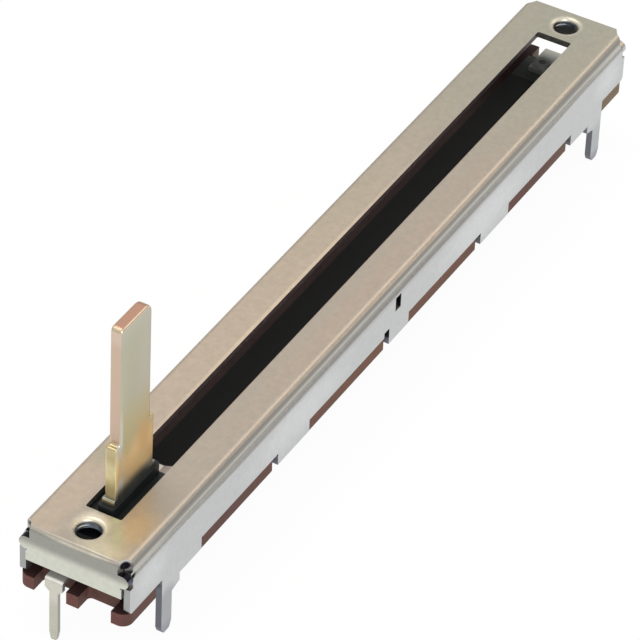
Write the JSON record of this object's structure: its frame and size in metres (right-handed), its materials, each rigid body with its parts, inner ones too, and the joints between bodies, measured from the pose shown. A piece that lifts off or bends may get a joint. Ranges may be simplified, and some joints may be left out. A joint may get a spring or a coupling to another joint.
{
  "type": "slide potentiometer",
  "caption": "Long, narrow slide potentiometer for a circuit board: a folded steel frame, a flat metal lever that slides along its slot, fixing legs and pins below.",
  "frame": {"origin": "middle of the footprint, at the level of the tips of the fixing legs", "axes": "+X along the slot, away from the end where the lever stands at rest; +Z out of the top face, along the lever; Y across the body, with the single terminal of the near end on the +Y side"},
  "size_m": [0.0752, 0.009, 0.0253],
  "materials": {
    "tinned_steel": "dull tin plating",
    "lever_steel": "stamped, plated",
    "laminate": "phenolic paper laminate",
    "carbon_print": "carbon resistive ink",
    "silver_print": "silver conductive ink",
    "black_resin": "moulded acetal",
    "tinned_brass": "tin plated",
    "spring_bronze": "silver plated phosphor bronze"
  },
  "bodies": {
    "housing": {"frame": "tinned_steel", "board": "laminate", "resistive_track": "carbon_print", "near_pad": "silver_print", "far_pad": "silver_print", "collector_track": "silver_print", "near_terminal": "tinned_brass", "far_terminal_left": "tinned_brass", "far_terminal_right": "tinned_brass", "near_eyelet": "tinned_brass", "far_eyelet_left": "tinned_brass", "far_eyelet_right": "tinned_brass"},
    "slider": {"carrier": "black_resin", "lever": "lever_steel", "wiper_spring": "spring_bronze", "friction_spring": "spring_bronze"}
  },
  "joints": [
    {"name": "lever_slide", "type": "slide", "parent": "housing", "child": "slider", "axis": [1, 0, 0], "range_m": [0, 0.0605]}
  ]
}
